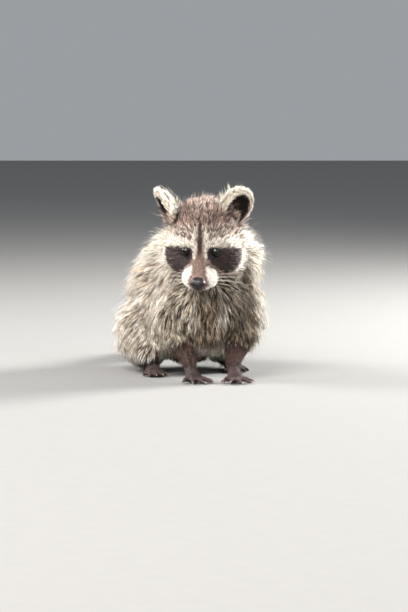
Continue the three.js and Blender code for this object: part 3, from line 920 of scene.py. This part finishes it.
shader = node(leather, "ShaderNodeBsdfPrincipled", {
    "Base Color": tone.outputs["Color"], "Roughness": 0.42, "IOR": 1.4, "Normal": relief.outputs[0],
    "Coat Weight": 0.25, "Coat Roughness": 0.22,
})
node(leather, "ShaderNodeOutputMaterial", {"Surface": shader.outputs[0]})
nose.data.materials.clear()
nose.data.materials.append(leather)
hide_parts("nose")
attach(nose, "root")

# ---- Claws ----
# Twenty short curved claws of brown horn, one set in the tip of each finger and toe.
CLAW_LONG, CLAW_THICK, CLAW_POINT = 6.0 * MM, 2.0 * MM, 0.24 * MM
CLAW_FLAT = 0.72  # its width beside its depth
CLAW_BEND = math.radians(48)

bpy.ops.object.select_all(action="DESELECT")
bpy.ops.mesh.primitive_cone_add(
    vertices=12, radius1=CLAW_THICK / 2, radius2=CLAW_POINT / 2, depth=CLAW_LONG,
    location=(0, 0, CLAW_LONG / 2),
)
claw = bpy.context.object
bpy.ops.object.transform_apply(location=True, rotation=True, scale=True)
bpy.ops.object.mode_set(mode="EDIT")
bpy.ops.mesh.select_all(action="DESELECT")
bpy.ops.mesh.select_mode(type="EDGE")
bpy.ops.object.mode_set(mode="OBJECT")
for edge in claw.data.edges:
    ends = [claw.data.vertices[i].co.z for i in edge.vertices]
    edge.select = abs(ends[0] - ends[1]) > CLAW_LONG / 2
bpy.ops.object.mode_set(mode="EDIT")
bpy.ops.mesh.subdivide(number_cuts=8)
bpy.ops.object.mode_set(mode="OBJECT")
# Along it a claw keeps its thickness at first, then runs to a point; it bends down as it goes.
points = points_of(claw)
along = points[:, 2] / CLAW_LONG
fuller = (1 - along**2.2) / np.maximum(1 - along * 0.9, 0.1)
points[:, :2] *= np.clip(fuller, 0.3, 1.4)[:, None] * np.array((CLAW_FLAT, 1.0))
radius = CLAW_LONG / CLAW_BEND
angle = along * CLAW_BEND
from_centre = radius + points[:, 1]
claw_shape = np.stack((points[:, 0], from_centre * np.sin(angle), from_centre * np.cos(angle) - radius), 1)

# Horn: dark brown at the root, paler and worn towards the point, with fine lines along it.
LINES_PER_MM, LINES_DEEP = 2.2, 0.1 * MM
horn = new_material("claw horn")
from_root = node(horn, "ShaderNodeAttribute", attribute_name="from_root").outputs["Fac"]
worn = node(horn, "ShaderNodeValToRGB", {"Fac": from_root})
worn.color_ramp.elements[0].color = (*linear("1f1714"), 1)
worn.color_ramp.elements[1].color = (*linear("75624f"), 1)
place = node(horn, "ShaderNodeTexCoord").outputs["Object"]
lines = node(horn, "ShaderNodeTexNoise", {"Vector": place, "Scale": LINES_PER_MM / MM, "Detail": 2.0})
relief = node(horn, "ShaderNodeBump", {
    "Height": lines.outputs["Fac"], "Strength": 0.25, "Distance": LINES_DEEP,
})
shader = node(horn, "ShaderNodeBsdfPrincipled", {
    "Base Color": worn.outputs["Color"], "Roughness": 0.35, "IOR": 1.54, "Normal": relief.outputs[0],
})
node(horn, "ShaderNodeOutputMaterial", {"Surface": shader.outputs[0]})
claws = []
for root, ahead, length, radius in DIGITS:
    made = new_piece("claw", claw.data.copy())
    aside = np.array((ahead[1], -ahead[0], 0))
    seat = root * (1, 1, 0) + ahead * (length - radius * 0.35) + np.array((0, 0, radius * 1.3))
    move_points(made, seat + claw_shape @ np.array((aside, ahead, (0, 0, 1))))
    claws.append(made)
select_only(*claws)
bpy.ops.object.join()
claws = bpy.context.object
claws.name = "claws"
level = claws.data.attributes.new("from_root", "FLOAT", "POINT")
level.data.foreach_set("value", np.tile(along, len(DIGITS)).astype(np.float32))
bpy.ops.object.mode_set(mode="EDIT")
bpy.ops.mesh.select_all(action="SELECT")
bpy.ops.mesh.normals_make_consistent(inside=False)
bpy.ops.object.mode_set(mode="OBJECT")
bpy.ops.object.shade_smooth_by_angle(angle=math.radians(50))
bpy.data.objects.remove(claw)
claws.data.materials.clear()
claws.data.materials.append(horn)
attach(claws, "root")

# ---- Coat ----
# The hair itself: some hundred thousand tufts, each a thin tapering blade that rises from the skin
# and bends over along the lie. Tufts that stand together lean to one tip and make a lock. Each
# piece of the coat is the tufts of one part of the animal.
# For each length of hair, in mm: width of a tuft, tufts to the square mm, tufts to a lock.
TUFTS = np.array((
    (2.2, 0.40, 2.3, 3),
    (4.0, 0.36, 3.1, 4),
    (7.0, 0.42, 2.3, 5),
    (11.0, 0.48, 1.5, 7),
    (18.0, 0.58, 0.85, 9),
    (27.0, 0.68, 0.55, 11),
))
# The share of them that grows where the coat is thin or out of sight.
THINNER = {
    "coat_belly": 0.3,
    "coat_legs": 0.45,
    "coat_paws": 0.7,
    "coat_ears": 0.72,
    "coat_left_side": 0.95,
}
# No hair grows nearer than this to the lids, by their opening, to the lips, in mm, or to the floor.
BARE_LID, BARE_LIP, BARE_SOLE = 1.08, 0.7, 0.9 * MM
SUNK = 0.6 * MM  # how deep a tuft is rooted
rng = np.random.default_rng(20)
corners = triangles_of(skin)
points = points_of(skin)
normals = normals_of(skin)
_, lengths, _, pieces = growth_at(points, skin_nodes)
areas = areas_of(points[corners])
density = np.interp(lengths / MM, TUFTS[:, 0], TUFTS[:, 2]) / MM**2
for name, share in THINNER.items():
    density[pieces == name] *= share
density = density[corners].mean(1)
bald = (skin_nodes == "nose") | (off_mouth(points) < BARE_LIP)
bald |= (lids_at(points, 12 * MM) < BARE_LID) | (points[:, 2] < BARE_SOLE)
density[bald[corners].any(1)] = 0
expected = np.cumsum(areas * density)
count = int(expected[-1])
drawn = (np.arange(count) + rng.random(count)) * expected[-1] / count
which = np.minimum(np.searchsorted(expected, drawn), len(areas) - 1)
within = places_within(rng, count)


def on_skin(values):
    """The values of the skin's points, at the roots."""
    three = values[corners[which]]
    return sum(three[:, k] * within[k] for k in range(3))


roots = on_skin(points)
ups = unit(on_skin(normals))
root_nodes = skin_nodes[corners[which, 0]]
lies, lengths, depths, pieces = growth_at(roots, root_nodes)

# On an ear the hair runs up and outwards, and at the rim it stands off all round. The edge
# towards the other ear is the shaggiest.
SHAG = {"right_ear": 8.0, "left_ear": 4.5}  # how much longer the hair of that edge is, in mm
for ear in EARS:
    at = np.nonzero(root_nodes == ear)[0]
    root, axes = ear_frame(ear)
    local = (to_head(roots[at]) - root) @ axes.T
    facing = (ups[at] @ HEAD_TURN) @ axes.T
    side, up = local[:, 0] / EAR_HALF_WIDE, local[:, 2]
    rim = ramp(np.hypot(side, (up - EAR_MIDDLE) / EAR_HALF_HIGH), 0.72, 0.98)
    outward = np.stack((side, 0 * rim, (up - 12) / EAR_HALF_HIGH), 1)
    lie = unit(outward + np.array((0, 0, 0.7)))
    inside = (facing[:, 1] > 0.3) & (rim < 0.5)
    lie[inside] = unit(np.array((0, 0.55, 1.0)) - 0.6 * outward[inside])
    lies[at] = (lie @ axes) @ HEAD_TURN.T
    inner = ramp(side if ear == "left_ear" else -side, 0.0, 0.7) * ramp(up, 0, 8)
    inner *= ramp(facing[:, 1], 0.35, -0.1)
    lengths[at] += (1.6 * rim + SHAG[ear] * inner) * MM
    depths[at] = (0.9 + 2.4 * rim * ramp(up, 8, 24) + 0.6 * SHAG[ear] * inner) * MM

# Each lock has its own slight turn, rise, length and brightness, and each tuft in it a little more.
# A wisp is a lock of a few tufts, with a brightness and flecks of its own.
TO_WISP = 3  # tufts to a wisp
to_lock = np.interp(lengths / MM, TUFTS[:, 0], TUFTS[:, 3])
raised = roots + ups * 4 * MM  # so that hairs on two sides of an edge stay apart
leads = np.nonzero(rng.random(count) < 1 / to_lock)[0]
lock = nearest_in(tree_of(raised[leads]), raised)
wisp_leads = np.nonzero(rng.random(count) < 1 / TO_WISP)[0]
wisp = nearest_in(tree_of(raised[wisp_leads]), raised)
SHORT_HAIR, LONG_HAIR = 4 * MM, 12 * MM  # the longer it is between these, the more it gathers
short = 1 - ramp(lengths, SHORT_HAIR, LONG_HAIR)


def uneven(middle, by_lock, by_tuft):
    """A value for each tuft that strays from the middle with its lock and by itself."""
    return middle + rng.normal(0, by_lock, len(leads))[lock] + rng.normal(0, by_tuft, count)


turn = uneven(0, 0.20, 0.10)
lift = np.clip(uneven(1, 0.16, 0.13), 0.5, 1.5)
reach = np.clip(uneven(1, 0.09, 0.09), 0.6, 1.35)
bright = np.exp(
    rng.normal(0, 0.17, len(leads))[lock] * (1 - 0.6 * short)
    + rng.normal(0, 0.32, len(wisp_leads))[wisp] * (1 - 0.55 * short)
    + rng.normal(0, 0.12, count)
)


def along_skin(ways, ups):
    """The ways laid flat on the skin, with a length of 1."""
    return unit(ways - (ways * ups).sum(1)[:, None] * ups)


lies = along_skin(lies, ups)
asides = np.cross(ups, lies)
lies = unit(lies * np.cos(turn)[:, None] + asides * np.sin(turn)[:, None])
lengths = lengths * reach
rises = np.minimum(depths * lift * 0.95 + 0.15 * MM, lengths * 0.85)
runs = np.sqrt(lengths**2 - rises**2)
tips = roots + lies * runs[:, None] + ups * rises[:, None]


def shared_tips(group, count_of_groups):
    """The middle of the tips in each tuft's group."""
    middles = np.zeros((count_of_groups, 3))
    np.add.at(middles, group, tips)
    middles /= np.maximum(np.bincount(group, minlength=count_of_groups), 1)[:, None]
    return middles[group]


# A tuft bends towards the tip of its lock, more where the hair is long, and of its wisp.
TO_LOCK_TIP, TO_LOCK_TIP_LONG, TO_WISP_TIP = 0.14, 0.16, 0.40  # shares of the way there
MOST_PULLED = 0.35  # of its length
gather = TO_LOCK_TIP + TO_LOCK_TIP_LONG * (1 - short)
pull = (shared_tips(lock, len(leads)) - tips) * gather[:, None]
pull = pull + (shared_tips(wisp, len(wisp_leads)) - tips) * TO_WISP_TIP
far = np.linalg.norm(pull, axis=1)
pull *= np.minimum(1, lengths * MOST_PULLED / np.maximum(far, 1e-9))[:, None]
widths = np.interp(lengths / MM, TUFTS[:, 0], TUFTS[:, 1]) * MM * rng.uniform(0.75, 1.2, count)

# Colours at the root and the tip of each tuft, from the marks where most of it lies.
shares = paint_shares(roots + (lies * runs[:, None] + ups * rises[:, None]) * 0.6, root_nodes)
pick = (rng.random(count)[:, None] > np.cumsum(shares, 1)).sum(1).clip(0, len(PAINT_NAMES) - 1)
under, over = PAINT_UNDER[pick], PAINT_OVER[pick]
in_wisps = rng.random(count) < 0.75  # most flecks are whole wisps
drawn = np.where(in_wisps, rng.random(len(wisp_leads))[wisp], rng.random(count))
flecked = drawn < PAINT_SHARE[pick]
over = np.where(flecked[:, None], PAINT_FLECK[pick], over) * bright[:, None]
under = under * (0.6 + 0.4 * bright)[:, None]


# A blade's thickness beside its widest, from root to tip, and that of its ridge beside its width.
BLADE, RIDGE = ((0, 0.3, 0.75, 1), (0.8, 1, 0.62, 0.1)), 0.7
RING_EASE = 0.85  # its rings stand a little closer towards the tip
RUN_EASE, RISE_EASE, PULL_EASE = 1.3, 1.9, 1.5  # it rises first, runs out after, and leans last
WIDEST = 95.5 * MM  # no hair stands out past this to either side
DYED = (0.16, 0.7)  # where along it the colour of the root begins and ends to turn to the tip's
ROOT_SHADE = 0.72  # how dark it is at the skin, which the hair round it shades
# Its patch on the piece's map: its size, and the gap at the sides of each of its three faces.
PATCH, GAP = 0.003, 0.01


def unrolled(places):
    """Each place unrolled about the long axis of them all, from 0 to 1 both ways less a patch."""
    middle = places.mean(0)
    _, _, axes = np.linalg.svd(places - middle, full_matrices=False)
    length, across, depth = ((places - middle) @ axes.T).T
    round_it = (np.arctan2(across, depth) + math.pi) / (2 * math.pi)
    along = (length - length.min()) / np.ptp(length)
    return np.stack((round_it, along), 1) * (1 - PATCH)


def build_tufts(name, at, rings):
    """One piece of coat from the tufts numbered `at`, each a three-sided blade with this many rings."""
    total = len(at)
    steps = (np.arange(rings) / rings) ** RING_EASE
    size = np.interp(steps, *BLADE)
    bend = [roots[at] - ups[at] * SUNK]
    for t in (*steps[1:], 1.0):
        bend.append(
            roots[at]
            + lies[at] * (runs[at] * t**RUN_EASE)[:, None]
            + ups[at] * (rises[at] * (1 - (1 - t) ** RISE_EASE))[:, None]
            + pull[at] * t**PULL_EASE
        )
    bend = np.stack(bend, 1)
    bend[:, 1:, 2] = np.maximum(bend[:, 1:, 2], widths[at][:, None] * 0.7)  # it lies on the floor at last
    bend[:, :, 0] = np.clip(bend[:, :, 0], -WIDEST, WIDEST)
    ahead = unit(np.diff(bend, axis=1))
    flat = unit(np.cross(ahead, ups[at][:, None]))
    ridge = np.cross(flat, ahead)
    half = widths[at][:, None, None] / 2 * size[None, :, None]
    base = bend[:, :-1]
    ring = np.stack((base + flat * half, base + ridge * half * RIDGE, base - flat * half), 2)
    verts = np.concatenate((ring.reshape(total, -1, 3), bend[:, -1:]), 1)
    per = rings * 3 + 1
    faces = [(0, 2, 1)]
    for r in range(rings - 1):
        for k in range(3):
            p, q = r * 3 + k, r * 3 + (k + 1) % 3
            faces += [(p, q, q + 3), (p, q + 3, p + 3)]
    last = (rings - 1) * 3
    faces += [(last + k, last + (k + 1) % 3, per - 1) for k in range(3)]
    faces = np.array(faces)
    loops = (faces[None] + (np.arange(total) * per)[:, None, None]).reshape(-1)
    mesh = bpy.data.meshes.new(name)
    mesh.vertices.add(total * per)
    mesh.vertices.foreach_set("co", verts.astype(np.float32).ravel())
    mesh.loops.add(len(loops))
    mesh.loops.foreach_set("vertex_index", loops.astype(np.int32))
    mesh.polygons.add(total * len(faces))
    mesh.polygons.foreach_set("loop_start", np.arange(0, len(loops), 3, dtype=np.int32))
    mesh.polygons.foreach_set("use_smooth", np.ones(total * len(faces), bool))
    # Across its patch go the three faces of a tuft, along it root to tip.
    inner = np.zeros((len(faces), 3, 2))
    inner[0] = ((0.02, 0.0), (0.3, 0.0), (0.15, 0.06))
    levels = np.append(steps * 0.9 + 0.08, 1.0)
    row = 1
    for r in range(rings - 1):
        for k in range(3):
            low, high = levels[r], levels[r + 1]
            left, right = k / 3 + GAP, (k + 1) / 3 - GAP
            inner[row] = ((left, low), (right, low), (right, high))
            inner[row + 1] = ((left, low), (right, high), (left, high))
            row += 2
    top = levels[rings - 1]
    for k in range(3):
        inner[row + k] = ((k / 3 + GAP, top), ((k + 1) / 3 - GAP, top), (k / 3 + 0.16, 1))
    corner = unrolled(roots[at])[:, None, None] + inner[None] * PATCH
    layer = mesh.uv_layers.new(name="OFBake")
    layer.data.foreach_set("uv", corner.astype(np.float32).ravel())
    piece = new_piece(name, mesh)
    mesh.validate()
    mesh.update()
    level = np.repeat(np.append(steps, 1.0), (3,) * rings + (1,))
    blend = ramp(level, *DYED)[None, :, None]
    colours = under[at][:, None] * (1 - blend) + over[at][:, None] * blend
    colours = colours * (ROOT_SHADE + (1 - ROOT_SHADE) * ramp(level, 0, 0.4))[None, :, None]
    give_colours(piece, np.clip(colours, 0, 1).reshape(-1, 3))
    return piece


# Hair: matt with a soft gleam along it, its dye from root to tip in "fur_colour".
fur = new_material("hair of the coat")
shader = node(fur, "ShaderNodeBsdfPrincipled", {
    "Base Color": uneven_dye(fur, spots_per_mm=0.9, detail=2.0, darkest=0.85, palest=1.12),
    "Roughness": 0.55, "IOR": 1.5, "Specular IOR Level": 0.35,
})
node(fur, "ShaderNodeOutputMaterial", {"Surface": shader.outputs[0]})

# Long hair needs a third ring to bend well.
for name in dict.fromkeys(COAT_PIECES):
    at = np.nonzero(pieces == name)[0]
    if name == "coat_paws":
        rings = 1
    elif np.median(lengths[at]) < LONG_HAIR:
        rings = 2
    else:
        rings = 3
    piece = build_tufts(name, at, rings)
    piece.data.materials.append(fur)
    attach(piece, "root")

# Guard hairs: single long pale hairs that stand out through the rest wherever the coat is long,
# clear of the floor. They blur its outline.
GUARD_LONG, GUARD_THICK = 1.35, 0.27 * MM  # length beside the hair round it; thickness
GUARD_AMONG, GUARD_ABOVE = 9 * MM, 30 * MM  # they grow in hair longer, and places higher, than this
GUARD_SHARE = 0.10  # how many there are beside the tufts there
guarded = (lengths > GUARD_AMONG) & (roots[:, 2] > GUARD_ABOVE)
at = np.nonzero(guarded & (rng.random(count) < GUARD_SHARE))[0]
lengths[at] *= GUARD_LONG
rises[at] = np.minimum(lengths[at] * rng.uniform(0.45, 0.8, len(at)), depths[at] * 1.2 + 6 * MM)
runs[at] = np.sqrt(np.maximum(lengths[at] ** 2 - rises[at] ** 2, 0))
pull[at] *= 0.2
widths[at] = GUARD_THICK
over[at] = np.clip(over[at] * 0.6 + 0.4 * linear("f0e6d6"), 0, 1)
piece = build_tufts("coat_guard_hairs", at, 2)
piece.data.materials.append(fur)
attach(piece, "root")

# ---- Whiskers ----
# Stiff pale bristles in three rows, rooted in the pads of the upper lip and sweeping back and
# down beside the face, each tapering to a point.
WHISKER_THICK = 0.28 * MM
WHISKER_RINGS = 7
WHISKER_ROWS = ((-13.5, 4), (-16.0, 5), (-18.8, 4))  # height in the head's frame, bristles to a side
seats, sweeps, spans = [], [], []
for side in (1, -1):
    for row, (height, count_in_row) in enumerate(WHISKER_ROWS):
        for k in range(count_in_row):
            seats.append((side * (14.0 + 0.8 * k), -55.5 + 4.2 * k, height + 0.4 * k))
            sweeps.append((side * (1.0 + 0.1 * row), 0.5 + 0.16 * k, -0.34 - 0.22 * row))
            spans.append(30 + 4 * k - 3 * row + 4 * rng.random())
seats, sweeps, spans = from_head(seats), unit(sweeps) @ HEAD_TURN.T, np.array(spans) * MM
t = np.linspace(0, 1, WHISKER_RINGS)[None, :, None]
droop = np.array((0, 0.25, -0.28)) @ HEAD_TURN.T
line = seats[:, None] + spans[:, None, None] * (sweeps[:, None] * t + droop * t**2)
ahead = unit(np.gradient(line, axis=1))
flat = unit(np.cross(ahead, HEAD_TURN @ np.array((0, 0, 1.0))))
ridge = np.cross(flat, ahead)
half = WHISKER_THICK / 2 * (1 - 0.9 * t)
around = np.linspace(0, 2 * math.pi, 5)[:-1]
ring = np.stack([line + half * (math.cos(w) * flat + math.sin(w) * ridge) for w in around], 2)
whisker_faces = []
for i in range(len(seats)):
    first = i * WHISKER_RINGS * 4
    whisker_faces.append(tuple(first + k for k in (3, 2, 1, 0)))
    for r in range(WHISKER_RINGS - 1):
        for k in range(4):
            p, q = first + r * 4 + k, first + r * 4 + (k + 1) % 4
            whisker_faces.append((p, q, q + 4, p + 4))
    end = first + (WHISKER_RINGS - 1) * 4
    whisker_faces.append(tuple(end + k for k in range(4)))
mesh = bpy.data.meshes.new("whiskers")
mesh.from_pydata(ring.reshape(-1, 3).tolist(), [], whisker_faces)
whiskers = new_piece("whiskers", mesh)
select_only(whiskers)
bpy.ops.object.shade_smooth()

# Bristle: pale, smooth and a little glossy, its tone drifting along it.
bristle = new_material("whisker bristle")
place = node(bristle, "ShaderNodeTexCoord").outputs["Object"]
DRIFTS_PER_MM = 0.12
drift = node(bristle, "ShaderNodeTexNoise", {"Vector": place, "Scale": DRIFTS_PER_MM / MM})
tone = node(bristle, "ShaderNodeValToRGB", {"Fac": drift.outputs["Fac"]})
tone.color_ramp.elements[0].color = (*linear("b9ab9b"), 1)
tone.color_ramp.elements[1].color = (*linear("f2ece2"), 1)
shader = node(bristle, "ShaderNodeBsdfPrincipled", {
    "Base Color": tone.outputs["Color"], "Roughness": 0.35, "IOR": 1.55,
})
node(bristle, "ShaderNodeOutputMaterial", {"Surface": shader.outputs[0]})
whiskers.data.materials.append(bristle)
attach(whiskers, "root")

# ---- Floor and light ----
# A plain pale floor. A large soft lamp stands high in front on the animal's right and a weaker
# one on its left for the shadows. Two more edge the coat with light: the stronger from behind its
# left side, the other beside its right.
bpy.ops.object.select_all(action="DESELECT")
bpy.ops.mesh.primitive_plane_add(size=14)
floor = bpy.context.object
floor.name = "floor"
CLOUDS_PER_MM = 0.06
paper = new_material("pale floor")
place = node(paper, "ShaderNodeTexCoord").outputs["Object"]
clouds = node(paper, "ShaderNodeTexNoise", {"Vector": place, "Scale": CLOUDS_PER_MM / MM, "Detail": 4.0})
tone = node(paper, "ShaderNodeMapRange", {"Value": clouds.outputs["Fac"], "To Min": 0.20, "To Max": 0.22})
shader = node(paper, "ShaderNodeBsdfPrincipled", {
    "Base Color": tone.outputs[0], "Roughness": 0.9, "IOR": 1.45,
})
node(paper, "ShaderNodeOutputMaterial", {"Surface": shader.outputs[0]})
floor.data.materials.append(paper)

BREAST = Vector((15, -110, 110)) * MM
for name, place, size, power, tint in (
    ("soft_key", (-0.65, -1.85, 1.65), 1.3, 94, (1.0, 0.955, 0.89)),
    ("fill", (1.4, -1.7, 1.0), 1.5, 20, (0.98, 0.97, 0.98)),
    ("rim_left", (1.5, 0.8, 0.85), 0.8, 125, (1.0, 0.98, 0.92)),
    ("rim_right", (-1.6, 0.1, 1.1), 0.9, 60, (1.0, 0.97, 0.93)),
):
    bpy.ops.object.light_add(type="AREA", location=place)
    lamp = bpy.context.object
    lamp.name = name
    lamp.data.shape = "DISK"
    lamp.data.size = size
    lamp.data.energy = power
    lamp.data.color = tint
    lamp.rotation_euler = (BREAST - Vector(place)).to_track_quat("-Z", "Y").to_euler()
studio = bpy.data.worlds.new("studio")
bpy.context.scene.world = studio
studio.use_nodes = True
air = studio.node_tree.nodes["Background"]
air.inputs["Color"].default_value = (0.86, 0.90, 0.95, 1)
air.inputs["Strength"].default_value = 0.38
bpy.context.scene.view_settings.view_transform = "Standard"
